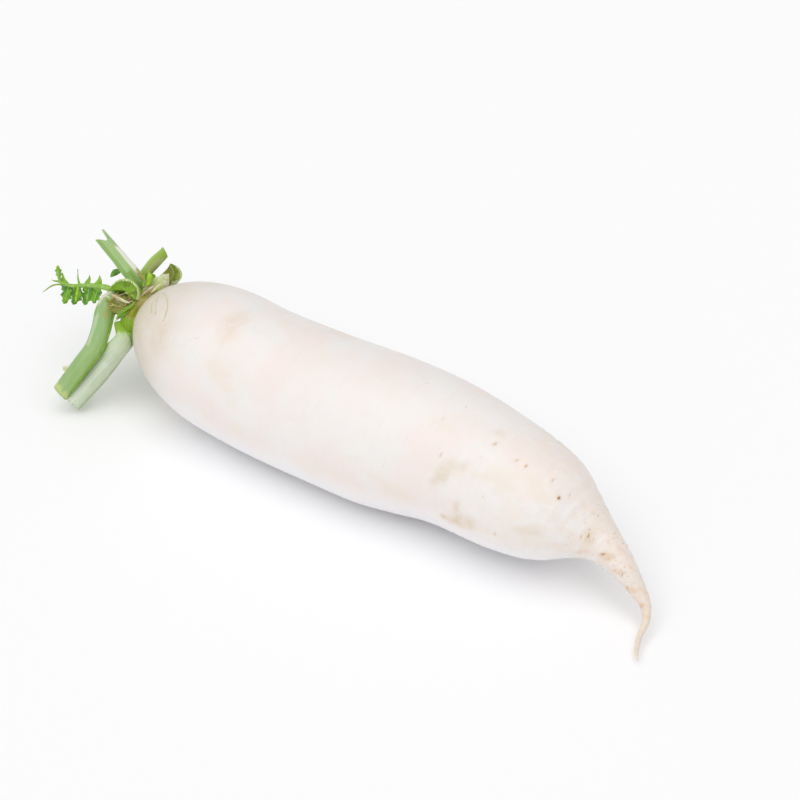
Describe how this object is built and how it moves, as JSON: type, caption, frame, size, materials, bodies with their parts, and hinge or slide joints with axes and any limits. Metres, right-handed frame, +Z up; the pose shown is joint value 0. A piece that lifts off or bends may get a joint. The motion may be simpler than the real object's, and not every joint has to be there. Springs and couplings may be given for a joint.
{
  "type": "daikon radish",
  "caption": "Long white daikon radish lying on its side, with a curling tail, a small leaf crown and leaf stalks cut short.",
  "frame": {"origin": "middle of the small flat on the belly that the root rests on", "axes": "+X along the root from the leaf crown to the tail, +Z up, +Y completes a right-handed frame"},
  "size_m": [0.3645, 0.09, 0.0783],
  "materials": {
    "root_skin": "smooth, faintly waxy root skin with a low sheen",
    "crown": "dry, ringed leaf scars",
    "pale_stalk": "smooth, finely ribbed stalk",
    "green_stalk": "smooth, finely ribbed stalk",
    "leaf": "soft leaf with fine veins"
  },
  "bodies": {
    "root": {"root": "root_skin", "crown": "crown", "stalk_hanging_pale": "pale_stalk", "stub_knob": "pale_stalk", "stub_below": "green_stalk", "stalk_hanging_kinked": "green_stalk", "stub_far_crescent": "green_stalk", "stub_under": "green_stalk", "stub_crescent": "green_stalk", "stalk_far_side": "green_stalk", "stalk_torn": "green_stalk", "stalk_leaning_back": "green_stalk", "young_leaf": "leaf", "heart_leaf_lime": "leaf"}
  },
  "joints": []
}
